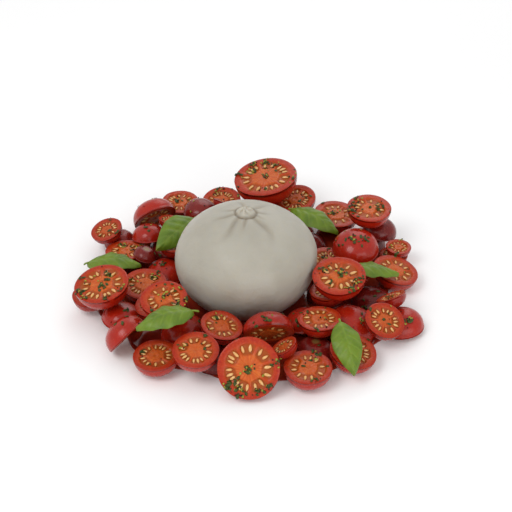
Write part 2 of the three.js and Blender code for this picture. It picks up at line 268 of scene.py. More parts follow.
skin = Finish("tomato_skin", Roughness=0.25, Coat_Weight=0.1, Coat_Roughness=0.05, Specular_IOR_Level=0.3)
skin.glow(0.12, (1.0, 0.2, 0.1), 1.5 * MM)
patches = skin.speckle(scale=90)
# painted shade from the stored shade value, with random darker patches on top
depth = skin.ease(skin.painted("tone") + (patches - 0.5) * 0.7, 0.0, 1.0)
freckles = skin.ease(skin.speckle(scale=1600, detail=0.0), 0.66, 0.76)
ripe_red_and_shade = skin.mix(depth, SKIN_BRIGHT, SKIN_DARK_PATCHES_AND_SHADE)
freckled = skin.mix(freckles * 0.25, ripe_red_and_shade, (0.55, 0.12, 0.03))
skin_finish = skin.paint(
    Base_Color=skin.mix(skin.painted("scar"), freckled, SCAR_TAN),
    Normal=skin.bump(skin.speckle(scale=260, detail=1.0), 0.25 * MM),
)
print("made", skin_finish.name)

# %% Cut tomato
WALL_RED = (0.34, 0.015, 0.003)
WALL_ORANGE = (0.42, 0.042, 0.005)
CORE_SALMON = (0.48, 0.075, 0.008)
CORE_PALE = (0.57, 0.135, 0.020)
GEL_AMBER = (0.37, 0.050, 0.004)
GEL_OLIVE = (0.29, 0.072, 0.006)

cut = Finish("cut_tomato", Roughness=0.3, Coat_Weight=0.12, Coat_Roughness=0.08, Specular_IOR_Level=0.2)
cut.glow(0.2, (1.0, 0.25, 0.1), 1.5 * MM)
ray = cut.painted("ray", output="Vector")
gel = cut.painted("gel")
apart = cut.node("ShaderNodeSeparateXYZ", {}, {"Vector": ray}, output="Z")
fibre_place = cut.node("ShaderNodeVectorMath", {"operation": "MULTIPLY"}, {0: ray, 1: (7.0, 7.0, 1.2)})
fibres = cut.speckle(scale=1.6, detail=3.0, roughness=0.6, at=fibre_place)
grain = cut.speckle(scale=900, detail=3.0, roughness=0.6)

wall = cut.mix(cut.ease(apart, 0.94, 0.70), WALL_RED, WALL_ORANGE)
core = cut.mix(cut.ease(fibres, 0.42, 0.62), CORE_SALMON, CORE_PALE)
flesh = cut.mix(cut.ease(apart, 0.62, 0.36), wall, core)
grained = cut.mix(cut.ease(grain, 0.35, 0.75) * 0.35, flesh, (0.54, 0.075, 0.010))
chamber = cut.mix(cut.speckle(scale=420), GEL_AMBER, GEL_OLIVE)
# painted shade: the cut faces of halves deep in the heap are darkened towards a dark red
cut_with_painted_shade = cut.mix(cut.painted("tone") * 0.55, cut.mix(gel, grained, chamber), (0.22, 0.016, 0.008))
cut_finish = cut.paint(
    Base_Color=cut_with_painted_shade,
    Normal=cut.bump(grain * (1 - gel) * 0.6 + fibres * 0.5, 0.35 * MM),
)
print("made", cut_finish.name)

# %% Seeds
seed = Finish("tomato_seed", Roughness=0.3, Coat_Weight=0.5, Coat_Roughness=0.1)
seed_tone = seed.speckle(scale=500)
seed_finish = seed.paint(Base_Color=seed.mix(seed_tone, (0.72, 0.42, 0.15), (0.60, 0.28, 0.07)))
print("made", seed_finish.name)

# %% [markdown]
# ## From arrays to a mesh
#
# Each piece is worked out as rows of points, and rows that follow each other are joined by faces. A
# Geometry Nodes tree could sweep the same rows, but the sizes come from solids that a script reads, so the
# points are worked out in the same script. Numbers that a finish needs are stored on the points.

# %% Mesh helpers
class Shape:
    """Points, faces, the finish of each face, and the numbers stored on the points."""

    def __init__(self):
        self.points = []
        self.faces = []
        self.slots = []
        self.stored = {}

    def add(self, points, faces, slot=0, **stored):
        """Adds a piece. A stored value is one for every point, or one for all of them."""
        start = len(self.points)
        self.points.extend(Vector(p) for p in points)
        self.join([[start + i for i in face] for face in faces], slot)
        for name, values in stored.items():
            row = self.stored.setdefault(name, [])
            row.extend(values if isinstance(values, list) else [values] * len(points))
        return self

    def join(self, faces, slot=0):
        """Adds faces between points that are already there."""
        self.faces.extend(faces)
        self.slots.extend([slot] * len(faces))

    def as_object(self, name, finishes, turned=None):
        """The finished object, riding with the salad."""
        mesh = bpy.data.meshes.new(name)
        places = [turned @ p for p in self.points] if turned else self.points
        mesh.from_pydata(places, [], self.faces)
        for finish in finishes:
            mesh.materials.append(finish)
        mesh.polygons.foreach_set("material_index", self.slots)
        mesh.polygons.foreach_set("use_smooth", [True] * len(self.faces))
        for stored_name, values in self.stored.items():
            kind, field = ("FLOAT_VECTOR", "vector") if isinstance(values[0], tuple) else ("FLOAT", "value")
            layer = mesh.attributes.new(stored_name, kind, "POINT")
            layer.data.foreach_set(field, np.array(values, dtype=np.float32).ravel())
        mesh.validate()
        made = bpy.data.objects.new(name, mesh)
        bpy.context.scene.collection.objects.link(made)
        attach(made, "root")
        return made


def angles_round(count):
    """Even steps all the way round, as angles."""
    return [2 * math.pi * j / count for j in range(count)]


def around(reach, angle, height=0.0):
    """A point this far out in this direction, at this height."""
    return (reach * math.cos(angle), reach * math.sin(angle), height)


def band_faces(first, second, sectors):
    """Faces between two rings of points, each given by the number of its first point."""
    pairs = [(j, (j + 1) % sectors) for j in range(sectors)]
    return [(first + j, first + k, second + k, second + j) for j, k in pairs]


def ring_faces(rows, sectors, start=0):
    """Faces between rings of points that follow each other."""
    starts = [start + i * sectors for i in range(rows)]
    return [face for one, two in zip(starts, starts[1:]) for face in band_faces(one, two, sectors)]


def fan_faces(first, sectors, tip, flipped=False):
    """Faces from a ring of points to one point."""
    faces = [(first + j, first + (j + 1) % sectors, tip) for j in range(sectors)]
    return [face[::-1] for face in faces] if flipped else faces


def closed_faces(rows, sectors):
    """Faces of a closed body: one point, then rings, then one point."""
    last = rows * sectors + 1
    faces = fan_faces(1, sectors, 0, flipped=True) + ring_faces(rows, sectors, start=1)
    return faces + fan_faces(last - sectors, sectors, last)


def smooth_step(low, high, value):
    """0 up to low, 1 from high on, and a smooth step between them. It also runs downwards."""
    share = min(1.0, max(0.0, (value - low) / (high - low)))
    return share * share * (3 - 2 * share)


def bell(off, width):
    """1 in the middle of a bump, falling smoothly to a third this far off and then to nothing."""
    return math.exp(-((off / width) ** 2))


print("mesh helpers ready")

# %% [markdown]
# ## Where each half lies
#
# A half's solid has one large flat face, the cut, and a round back. The cut is the largest set of its
# triangles that face the same way. From it come the middle of the cut, the direction it faces and its
# radius, and the farthest point behind it gives the depth. That is all a finished half needs to lie in the
# same place.

# %% Reading a half
def facing_groups(mesh):
    """Area and corners of the faces of a mesh, grouped by the direction they face."""
    groups = {}
    for face in mesh.polygons:
        direction = tuple(round(v, 2) for v in face.normal)
        group = groups.setdefault(direction, {"area": 0.0, "corners": set(), "normal": face.normal.copy()})
        group["area"] += face.area
        group["corners"].update(face.vertices)
    return groups


def read_half(node_name):
    """The middle, direction, radius and depth of a half's solid."""
    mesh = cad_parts[node_name].data
    cut_group = max(facing_groups(mesh).values(), key=lambda group: group["area"])
    corners = {tuple(round(v, 6) for v in mesh.vertices[i].co) for i in cut_group["corners"]}
    rim = [Vector(c) for c in corners]
    low = Vector(min(c[i] for c in rim) for i in range(3))
    high = Vector(max(c[i] for c in rim) for i in range(3))
    middle = (low + high) / 2
    radius = max((c - middle).length for c in rim)
    normal = cut_group["normal"].normalized()
    depth = max((middle - v.co).dot(normal) for v in mesh.vertices)
    return {"name": node_name, "middle": middle, "normal": normal, "radius": radius, "depth": depth}


halves = [read_half(name) for name in sorted(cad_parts) if "half" in name]
print("halves:", len(halves))
radii = [half["radius"] / MM for half in halves]
print("radii in mm:", round(min(radii), 1), "to", round(max(radii), 1))

# %% [markdown]
# ## One tomato half
#
# Real halves differ: the outline is a little uneven, the seed chambers number from four to seven, and no
# two seeds lie alike. Sculpting each would take days, and copies of one would look like copies. So a
# function draws a new one from a seeded random row: rings of points run from the end of the tomato up over
# the rim and in across the cut. In a chamber the cut is sunk, as gel sags when the knife has passed, and
# the seeds lie in it.

# %% The plan of a cut
OUTLINE_SHARE = 0.985
OUTER_JITTER = 0.02
OUTER_ROUNDING = 0.10
INNER_ROUNDING = 0.16
WALL_WIDTH = 0.055
LEAST_SHARE = 0.05


def plan_of_cut(dice, big):
    """Random sizes of one cut face, as shares of its radius."""
    chambers = dice.choice([5, 6, 7]) if big else dice.choice([4, 5, 5, 6])
    return {
        "chambers": chambers,
        "first": dice.uniform(0, 2 * math.pi),
        "outer": dice.uniform(0.77, 0.80) if big else dice.uniform(0.70, 0.76),
        "inner": dice.uniform(0.42, 0.46) if big else dice.uniform(0.34, 0.40),
        "waves": [(n, dice.uniform(0.002, 0.007), dice.uniform(0, 2 * math.pi)) for n in (2, 3, 5)],
        "jitter": [dice.uniform(-OUTER_JITTER, OUTER_JITTER) for _ in range(chambers)],
        "seeds": [dice.choice([2, 2, 3] if chambers > 5 else [3, 3, 2]) for _ in range(chambers)],
    }


def outline(plan, angle):
    """The half's radius at an angle, as a share of its radius."""
    return OUTLINE_SHARE + sum(size * math.cos(n * angle + turn) for n, size, turn in plan["waves"])


def chamber_at(plan, angle):
    """The chamber's number at an angle, and the place across it, from -1 at one wall to 1 at the next."""
    wide = 2 * math.pi / plan["chambers"]
    along = ((angle - plan["first"]) % (2 * math.pi)) / wide
    number = int(along) % plan["chambers"]
    return number, 2 * (along - int(along)) - 1


def gel_at(plan, angle, share):
    """How much of a point of the cut is in a seed chamber, from 0 to 1."""
    number, across = chamber_at(plan, angle)
    outer = plan["outer"] * (1 - OUTER_ROUNDING * abs(across) ** 3) + plan["jitter"][number]
    inner = plan["inner"] * (1 + INNER_ROUNDING * abs(across) ** 3)
    wall_share = WALL_WIDTH / max(share, LEAST_SHARE) / (math.pi / plan["chambers"])
    past_core = smooth_step(inner - 0.05, inner + 0.04, share)
    short_of_wall = smooth_step(outer + 0.04, outer - 0.05, share)
    between_walls = smooth_step(1 - 0.3 * wall_share, 1 - 1.5 * wall_share, abs(across))
    return past_core * short_of_wall * between_walls


print("gel half way out:", round(gel_at(plan_of_cut(random.Random(1), False), 1.0, 0.55), 2))

# %% Rings of a half
HALF_ROUNDNESS = 2.25
SKIN_RINGS = 13
SECTORS = 84
PLAIN_SECTORS = 48
SCAR_DEPTH = 0.5 * MM
SCAR_WIDTH = 2.2 * MM
SKIN_ENDS = 0.3 * MM
CUT_LEVEL = 0.12 * MM
CUT_UNEVEN = 0.12 * MM
CUT_GRAIN = 420
RIM_ROUND = 0.25 * MM
GEL_SUNK = 0.85 * MM
CORE_SUNK = 0.15 * MM
PIT_DEPTH = 0.45 * MM
MIDDLE_SUNK = 0.75 * MM


def skin_rows(half, plan, sectors, scar):
    """Rings from near the end of the tomato up to the rim, with the end itself first."""
    power = 2 / HALF_ROUNDNESS
    points = [(0, 0, -half["depth"] + SCAR_DEPTH * scar)]
    scars = [float(scar > 0)]
    for i in range(1, SKIN_RINGS + 1):
        turn = math.pi / 2 * (1 - (i / SKIN_RINGS) ** 1.1)
        out = half["radius"] * math.cos(turn) ** power
        dimple = scar * SCAR_DEPTH * bell(out, SCAR_WIDTH)
        height = min(dimple - half["depth"] * math.sin(turn) ** power, -SKIN_ENDS)
        points += [around(out * outline(plan, angle), angle, height) for angle in angles_round(sectors)]
        scars += [scar * smooth_step(2.3 * MM, 1.2 * MM, out)] * sectors
    return points, scars


def cut_rows(radius, plan, sectors, shares, noise_height):
    """Rings from the rim of the cut in to its middle, with the middle itself last."""
    points, rays, gels = [], [], []
    for share in shares:
        sunk = CUT_LEVEL + RIM_ROUND * smooth_step(0.955, 1.0, share)
        sunk += CORE_SUNK * smooth_step(0.9, 0.6, share) + PIT_DEPTH * smooth_step(0.13, 0.0, share)
        for angle in angles_round(sectors):
            spot = Vector(around(radius * share * outline(plan, angle), angle, noise_height))
            gel_share = gel_at(plan, angle, share)
            uneven = noise.noise(spot * CUT_GRAIN) * CUT_UNEVEN
            points.append((spot.x, spot.y, uneven - sunk - GEL_SUNK * gel_share))
            rays.append(around(1.0, angle, share))
            gels.append(gel_share)
    return points + [(0, 0, -MIDDLE_SUNK)], rays + [(0.0, 0.0, 0.0)], gels + [0.0]


print("rings on the skin:", SKIN_RINGS)

# %% Seeds of a half
SEED_RINGS = 5
SEED_SECTORS = 7
SEED_THICKNESS = 0.95 * MM
SEED_SUNK = 0.72 * MM
SEED_FACES = closed_faces(SEED_RINGS, SEED_SECTORS)
SEEDS_ACROSS = 0.86
SEED_ROOM = 0.62


def seed_points(length, width):
    """A seed along +X: a flat drop whose thin end points to -X, as rings between two end points."""
    points = [(-0.5 * length, 0, 0)]
    for i in range(1, SEED_RINGS + 1):
        share = i / (SEED_RINGS + 1)
        girth = 0.5 * math.sin(math.pi * share**0.75) ** 0.8
        for angle in angles_round(SEED_SECTORS):
            y, z = width * girth * math.cos(angle), SEED_THICKNESS * girth * math.sin(angle)
            points.append((length * (share - 0.5), y, z))
    return points + [(0.5 * length, 0, 0)]


def add_seeds(shape, plan, radius, dice, tone):
    """Lays the seeds of each chamber side by side, thin ends to the middle."""
    wide = 2 * math.pi / plan["chambers"]
    room = plan["outer"] - plan["inner"]
    for number, count in enumerate(plan["seeds"]):
        for k in range(count):
            across = SEEDS_ACROSS * ((k + 0.5) / count - 0.5)
            angle = plan["first"] + wide * (number + 0.5 + across) + dice.uniform(-0.04, 0.04)
            reach = radius * (plan["inner"] + room * dice.uniform(0.46, 0.58))
            length = radius * room * dice.uniform(0.62, 0.80)
            width = min(length * dice.uniform(0.38, 0.46), reach * wide / count * SEED_ROOM)
            turn = Matrix.Rotation(angle + dice.uniform(-0.12, 0.12), 4, "Z")
            tip = Matrix.Rotation(dice.uniform(-0.10, 0.10), 4, "Y")
            place = Matrix.Translation(around(reach, angle, -SEED_SUNK)) @ turn @ tip
            points = [place @ Vector(p) for p in seed_points(length, width)]
            shape.add(points, SEED_FACES, slot=2, ray=(0.0, 0.0, 0.0), gel=0.0, tone=tone, scar=0.0)


print("points of a seed:", len(seed_points(3 * MM, 1.3 * MM)))

# %% [markdown]
# ## All the halves
#
# A half whose cut lies flat underneath shows only its skin, so its cut stays plain. Halves deep in the bed
# and halves lying cut down get painted shade in their colour, as the light hardly reaches them, and a value
# stored on each carries that from 0, none, to 1, deepest. Each half that has a solid is made where the solid
# lies, and the solid is hidden. Each of these stands for its solid, which stays behind it for collisions.

# %% Making the halves
SHOWN_SHARES = [1.0, 0.985, 0.96, 0.93, 0.90, 0.87, 0.84]
SHOWN_SHARES += [0.84 - 0.024 * i for i in range(1, 23)] + [0.27, 0.22, 0.17, 0.13, 0.09, 0.045]
PLAIN_SHARES = [1.0, 0.97, 0.6]
BIG_RADIUS = 15.5 * MM
CUT_HIDDEN = -0.75
PAINTED_SHADE_RANGES = {
    # least and most painted shade by the first word of the name: with the cut up, and with the cut down
    "top": [(0.0, 0.08), (0.0, 0.08)],
    "bed": [(0.0, 0.2), (0.0, 0.35)],
    "deep": [(0.1, 0.45), (0.2, 0.9)],
    "small": [(0.25, 0.5), (0.65, 1.0)],
    "under": [(0.25, 0.5), (0.65, 1.0)],
}


def turn_to(normal, spin):
    """The turn that takes +Z to a normal, after a spin about +Z."""
    return normal.to_track_quat("Z", "Y").to_matrix().to_4x4() @ Matrix.Rotation(spin, 4, "Z")


def make_half(half, index):
    """One finished tomato half, in place of its solid if it has one."""
    dice = random.Random(1000 + index)
    radius = half["radius"]
    plan = plan_of_cut(dice, radius > BIG_RADIUS)
    cut_shown = half["normal"].z > CUT_HIDDEN
    sectors = SECTORS if cut_shown else PLAIN_SECTORS
    shares = SHOWN_SHARES if cut_shown else PLAIN_SHARES
    scar = 0.0 if cut_shown else dice.choice([0.0, 0.0, 1.0])
    cut_up, cut_down = PAINTED_SHADE_RANGES[half["name"].split("_")[0]]
    # how much painted shade this half gets: more deep in the heap, and more with the cut down
    tone = dice.uniform(*(cut_up if half["normal"].z > 0 else cut_down))

    shape = Shape()
    points, scars = skin_rows(half, plan, sectors, scar)
    faces = fan_faces(1, sectors, 0, flipped=True) + ring_faces(SKIN_RINGS, sectors, start=1)
    shape.add(points, faces, slot=0, ray=(0.0, 0.0, 1.0), gel=0.0, tone=tone, scar=scars)
    shape.join(band_faces(len(points) - sectors, len(points), sectors))
    points, rays, gels = cut_rows(radius, plan, sectors, shares, index * 0.01)
    faces = ring_faces(len(shares), sectors)
    faces += fan_faces((len(shares) - 1) * sectors, sectors, len(points) - 1)
    shape.add(points, faces, slot=1, ray=rays, gel=gels, tone=tone, scar=0.0)
    if cut_shown:
        add_seeds(shape, plan, radius, dice, tone)

    turned = Matrix.Translation(half["middle"]) @ turn_to(half["normal"], dice.uniform(0, 2 * math.pi))
    made = shape.as_object(f"tomato_{half['name']}", [skin_finish, cut_finish, seed_finish], turned)
    if half["name"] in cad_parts:
        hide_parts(half["name"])
    return made


tomatoes = [make_half(half, i) for i, half in enumerate(halves)]
print("faces on the halves:", sum(len(t.data.polygons) for t in tomatoes))

# %% [markdown]
# ## The burrata
#
# Burrata is a pouch of stretched curd, filled with cream and closed by a twist. It sags into a low dome,
# its skin is smooth and moist, and creases run down from the twist. Cloth simulation could gather a real
# pouch, but it would not settle inside a known solid. So the dome follows the solid's own sizes, and the
# twist, the ring round it and each crease are heights added to it. `crease` remembers where they are,
# because painted shade darkens them and the grooves between the folds of the twist.

# %% The burrata's skin
CURD = (0.375, 0.352, 0.295)
CURD_PALE = (0.410, 0.388, 0.330)
# brown-grey painted shade for the creases, the ring round the twist and the grooves between its folds
CURD_CREASE_SHADE = (0.23, 0.19, 0.13)

curd = Finish("burrata_skin", Roughness=0.48, Coat_Weight=0.06, Coat_Roughness=0.25, Specular_IOR_Level=0.4)
curd.glow(0.9, (1.0, 0.8, 0.55), 12 * MM)
curd_cloud = curd.ease(curd.speckle(scale=45, detail=3.0), 0.35, 0.65)
curd_finish = curd.paint(
    # painted shade towards brown-grey where the creases, the ring and the fold grooves are
    Base_Color=curd.mix(curd.painted("crease"), curd.mix(curd_cloud, CURD, CURD_PALE), CURD_CREASE_SHADE),
    Normal=curd.bump(curd.speckle(scale=180, detail=4.0, roughness=0.55), 0.5 * MM),
)
print("made", curd_finish.name)

# %% The burrata's shape
BURRATA_SECTORS = 216
LOWER_RINGS = 22
UPPER_RINGS = 96
FOOT_SHARE = 27 / 41
BELLY_SHARE = 26 / 57.5
TOP_STARTS = 10 * MM
NECK_RISE = 2.4 * MM
NECK_WIDTH = 9 * MM
KNOT_RADIUS = 6.0 * MM
KNOT_RING_WIDTH = 0.9 * MM
KNOT_RING_DEPTH = 0.8 * MM
BUTTON_RADIUS = 4.8 * MM
BUTTON_HEIGHT = 0.6 * MM
FOLDS = 5
FOLD_HEIGHT = 0.35 * MM
FOLD_TWIST = 1.1 * MM
CREASE_DEPTH = 0.55
CREASE_SHADE_SHARE = 0.5
CREASE_WANDER = 0.10
WANDER_LENGTH = 5 * MM
CREASE_TWIST = 0.25
TWIST_LENGTH = 8 * MM
CREASES_START = 4.5 * MM
CREASES_FULL = 8 * MM
CREASE_WIDENS = 40 * MM
CREASES = [
    # direction in degrees, reach in mm, depth in mm, width in mm
    (-52, 31, 1.1, 1.9),
    (-128, 29, 1.0, 1.8),
    (-92, 17, 0.8, 1.3),
    (42, 25, 1.0, 1.6),
    (150, 20, 0.8, 1.4),
    (98, 24, 0.9, 1.6),
    (4, 18, 0.7, 1.3),
    (-168, 23, 0.8, 1.5),
    (-22, 14, 0.6, 1.1),
    (70, 13, 0.6, 1.1),
    (-110, 12, 0.5, 1.0),
]


def crease_at(out, angle):
    """The depth of the creases at a place on top, and the painted shade in them there, from 0 to 1."""
    depth, crease_shade = 0.0, 0.0
    for degrees, reach, deep, width in CREASES:
        wander = CREASE_WANDER * math.sin(out / WANDER_LENGTH + degrees)
        middle = math.radians(degrees) + wander + CREASE_TWIST * math.exp(-out / TWIST_LENGTH)
        away = (angle - middle + math.pi) % (2 * math.pi) - math.pi
        across = bell(away * out, width * MM * (0.7 + out / CREASE_WIDENS))
        along = smooth_step(CREASES_START, CREASES_FULL, out)
        along *= smooth_step(reach * MM, 0.35 * reach * MM, out)
        depth += CREASE_DEPTH * deep * MM * across * along
        crease_shade = max(crease_shade, across * along)
    return depth, crease_shade


def knot_at(out, angle):
    """The height of the twist at the top, and the painted shade in its ring and between its folds there."""
    ring = bell(out - KNOT_RADIUS, KNOT_RING_WIDTH)
    button = math.exp(-((out / BUTTON_RADIUS) ** 4))
    folds = math.cos(FOLDS * angle - out / FOLD_TWIST) * smooth_step(0.3 * MM, 2 * MM, out) * button
    height = BUTTON_HEIGHT * button - KNOT_RING_DEPTH * ring + FOLD_HEIGHT * folds
    # the second number is painted shade in the ring's groove and between the folds
    return height, 0.8 * ring + 0.25 * max(0.0, -folds)


def burrata_rows(belly, top):
    """Rings from the foot up to the top, with the painted shade of the creases."""
    belly_height = BELLY_SHARE * top
    foot_angle = math.acos(FOOT_SHARE)
    drop = belly_height / math.sin(foot_angle)
    rise = top - NECK_RISE - BUTTON_HEIGHT - belly_height
    lower = [foot_angle * (1 - i / LOWER_RINGS) for i in range(LOWER_RINGS)]
    upper = [math.pi / 2 * (1 - i / UPPER_RINGS) ** 1.35 for i in range(UPPER_RINGS)]
    rows = [(math.cos(a), -drop * math.sin(a)) for a in lower]
    rows += [(math.sin(a), rise * math.cos(a)) for a in upper]
    points, crease_shades = [], []
    for share, height in rows:
        out = belly * share
        on_top = smooth_step(0, TOP_STARTS, height)
        neck = NECK_RISE * bell(out, NECK_WIDTH)
        for angle in angles_round(BURRATA_SECTORS):
            crease, crease_shade = crease_at(out, angle)
            knot, ring = knot_at(out, angle)
            spot = Vector(around(out, angle, height))
            uneven = (noise.noise(spot * 28) * 1.1 + noise.noise(spot * 75) * 0.35) * MM
            uneven *= smooth_step(-drop * 0.7, 0, height)
            reach = out - max(0.0, uneven + 0.5 * MM) * share - 0.4 * crease * on_top * share
            raised = belly_height + height + (neck + knot - crease + uneven * (1 - share)) * on_top
            points.append(around(reach, angle, max(0.0, raised)))
            # painted shade in the creases and the ring, on the top only
            crease_shades.append(min(1.0, CREASE_SHADE_SHARE * crease_shade + ring) * on_top)
    return points, crease_shades


points, crease_shades = burrata_rows(burrata_high.x - burrata_middle.x, burrata_high.z)
last_ring = len(points) - BURRATA_SECTORS
top_height = sum(p[2] for p in points[last_ring:]) / BURRATA_SECTORS
faces = ring_faces(LOWER_RINGS + UPPER_RINGS, BURRATA_SECTORS)
faces += fan_faces(last_ring, BURRATA_SECTORS, len(points))
faces += fan_faces(0, BURRATA_SECTORS, len(points) + 1, flipped=True)
pouch = Shape().add(points + [(0, 0, top_height), (0, 0, 0)], faces, crease=crease_shades + [0.0, 0.0])
burrata_place = Matrix.Translation((burrata_middle.x, burrata_middle.y, 0))
burrata = pouch.as_object("burrata_pouch", [curd_finish], burrata_place)
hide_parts("burrata")
print("burrata in mm:", [round(v / MM, 1) for v in burrata.dimensions])

# %% [markdown]
# ## Basil
#
# A basil leaf bulges between its veins, so its face is quilted and shiny, and its underside is paler. The
# veins curve towards the tip, and the edge is a little wavy. A flat picture of a leaf would cost less, but
# it has no quilting and no edge. The solids are plain leaves that already bend, so each one is matched
# first: its long and wide directions come from its points, and then small turns are tried until a plain
# leaf fits them best.

# %% Basil finish
LEAF_GREEN = (0.130, 0.205, 0.010)
LEAF_DARK = (0.085, 0.150, 0.008)
LEAF_VEIN = (0.21, 0.295, 0.035)
LEAF_UNDER = (0.18, 0.25, 0.040)

leaf = Finish("basil_leaf", Roughness=0.42, Specular_IOR_Level=0.35)
leaf.shader.inputs["Subsurface Weight"].default_value = 0.08
leaf.shader.inputs["Subsurface Scale"].default_value = 1 * MM
leaf_cloud = leaf.ease(leaf.speckle(scale=130, detail=3.0), 0.35, 0.7)
leaf_green = leaf.mix(leaf_cloud, LEAF_GREEN, LEAF_DARK)
leaf_sides = leaf.mix(leaf.painted("under"), leaf_green, LEAF_UNDER)
leaf_finish = leaf.paint(
    Base_Color=leaf.mix(leaf.painted("vein") * 0.5, leaf_sides, LEAF_VEIN),
    Normal=leaf.bump(leaf.speckle(scale=700, detail=3.0), 0.2 * MM),
)
print("made", leaf_finish.name)

# %% Matching a plain leaf to its solid
LEAF_WIDEST = 0.43
LEAF_POWER = math.log(0.5) / math.log(LEAF_WIDEST)
TRIED_DEGREES = range(-10, 11, 2)
SHIFTS = 3


def leaf_girth(share):
    """How wide a leaf is along its length, from 0 to 1."""
    return math.sin(math.pi * min(1.0, max(0.0, share)) ** LEAF_POWER) ** 0.85


def leaf_place(length, width, share, across):
    """A place on a plain leaf along +X, whose ends and edges bend down."""
    sag = 0.1 * length * (2 * share - 1) ** 2 + 0.14 * width * across**2
    return Vector((length * (share - 0.5), across * 0.5 * width * leaf_girth(share), -sag))


def facings(along, up):
    """The turns that lay a leaf along one way, facing another, and those with either way reversed."""
    for tip_way in (1, -1):
        for up_way in (1, -1):
            x, z = Vector(along) * tip_way, Vector(up) * up_way
            yield Matrix((x, z.cross(x), z)).transposed().to_4x4()


def fit_of(tree, centre, placed):
    """Shifts placed points on to the corners in a tree. Gives how far off they stay, and the shift."""
    shift = centre - sum(placed, Vector()) / len(placed)
    for _ in range(SHIFTS):
        near = [Vector(tree.find(p + shift)[0]) - p - shift for p in placed]
        shift += sum(near, Vector()) / len(near)
    return sum(tree.find(p + shift)[2] for p in placed) / len(placed), shift


def read_leaf(node_name):
    """The length, the width and the place of a leaf's solid."""
    corners = np.array([tuple(v.co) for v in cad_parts[node_name].data.vertices])
    centre = corners.mean(axis=0)
    axes = np.linalg.svd(corners - centre)[2]
    length, width = (float(np.ptp((corners - centre) @ axis)) for axis in axes[:2])
    tree = KDTree(len(corners))
    for i, corner in enumerate(corners):
        tree.insert(corner, i)
    tree.balance()
    plain = [leaf_place(length, width, s / 12, a / 2) for s in range(13) for a in (-2, -1, 0, 1, 2)]
    best = (math.inf, None)
    for facing in facings(axes[0], axes[2]):
        for pitch in TRIED_DEGREES:
            for roll in TRIED_DEGREES:
                turn = facing @ Matrix.Rotation(math.radians(pitch), 4, "Y")
                turn = turn @ Matrix.Rotation(math.radians(roll), 4, "X")
                off, shift = fit_of(tree, Vector(centre), [turn @ p for p in plain])
                if off < best[0]:
                    best = (off, Matrix.Translation(shift) @ turn)
    return {"name": node_name, "length": length, "width": width, "place": best[1], "off": best[0]}


leaves = [read_leaf(name) for name in sorted(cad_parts) if "leaf" in name]
for leaf_read in leaves:
    print(leaf_read["name"], "fits to mm:", round(leaf_read["off"] / MM, 2))

# %% A finished leaf
LEAF_ROWS = 72
LEAF_COLUMNS = 37
LEAF_THICKNESS = 0.45 * MM
LEAF_EDGE_SHARE = 0.12
VEIN_PAIRS = 6
VEIN_SLANT = 1.15
VEIN_OFFSET = 0.25
VEIN_WIDTH = 0.075
VEIN_RIDGE = 0.25 * MM
MIDRIB_WIDTH = 0.45 * MM
MIDRIB_GROOVE = 0.55 * MM
GROOVE_WIDTH = 1.3 * MM
QUILT_HEIGHT = 0.5 * MM
EDGE_WAVE = 0.55 * MM
LEAF_UNEVEN = 0.5 * MM


def vein_at(share, across, half_width):
    """How much of a vein is here, from 0 to 1, and how far it is to the next one, from 0 to 1."""
    midrib = bell(across * half_width, MIDRIB_WIDTH) * (1 - 0.6 * share)
    rank = share * VEIN_PAIRS - abs(across) ** 0.8 * VEIN_SLANT + (VEIN_OFFSET if across > 0 else 0.0)
    off = abs(rank - round(rank))
    fade = smooth_step(1.0, 0.55, abs(across)) * smooth_step(0.04, 0.12, share)
    return max(midrib, 0.7 * bell(off, VEIN_WIDTH) * fade), 2 * off


def leaf_sheet(length, width, dice):
    """The middle sheet of a leaf: places and veins, row by row."""
    wave = dice.uniform(0, 6)
    rows = []
    for i in range(LEAF_ROWS):
        share = 0.004 + 0.992 * i / (LEAF_ROWS - 1)
        girth = leaf_girth(share)
        half_width = 0.5 * width * girth
        row = []
        for j in range(LEAF_COLUMNS):
            across = math.sin(math.pi / 2 * (2 * j / (LEAF_COLUMNS - 1) - 1))
            vein, between = vein_at(share, across, half_width)
            place = leaf_place(length, width, share, across)
            rise = QUILT_HEIGHT * math.sin(math.pi / 2 * between) * (1 - across**2) * girth
            rise -= MIDRIB_GROOVE * bell(across * half_width, GROOVE_WIDTH) * (1 - share)
            rise += EDGE_WAVE * across**4 * math.sin(share * 23 + wave + (2 if across > 0 else 0)) * girth
            rise += LEAF_UNEVEN * noise.noise(place * 110 + Vector((wave, 0, 0)))
            row.append((place + Vector((0, 0, rise)), vein))
        rows.append(row)
    return rows


def leaf_side(rows, side):
    """The points and the veins of the upper side, 1, or of the lower side, -1, which meet at the edge."""
    points, veins = [], []
    for i, row in enumerate(rows):
        from_end = smooth_step(0, 3, min(i, LEAF_ROWS - 1 - i))
        for j, (place, vein) in enumerate(row):
            from_edge = smooth_step(0, 4, min(j, LEAF_COLUMNS - 1 - j)) * from_end
            up = 0.5 * LEAF_THICKNESS * (LEAF_EDGE_SHARE + (1 - LEAF_EDGE_SHARE) * from_edge)
            up += VEIN_RIDGE * vein if side < 0 else 0.0
            points.append(place + Vector((0, 0, side * up)))
            veins.append(vein)
    return points, veins


def add_stalk(shape, start, dice):
    """A short round stalk that runs on from the midrib."""
    points = []
    rings, sectors, length = 7, 10, dice.uniform(2.5, 4.0) * MM
    for i in range(rings):
        share = i / (rings - 1)
        middle = start + Vector((-length * share, 0, -0.4 * length * share - 0.5 * MM * share**2))
        girth = (0.45 + 0.25 * share) * MM * (1 if i < rings - 1 else 0.8)
        for angle in angles_round(sectors):
            points.append(middle + Vector((0, girth * math.cos(angle), girth * math.sin(angle))))
    faces = [face[::-1] for face in ring_faces(rings, sectors)]
    faces += [range(sectors), range(rings * sectors - 1, (rings - 1) * sectors - 1, -1)]
    shape.add(points, faces, vein=0.9, under=0.0)


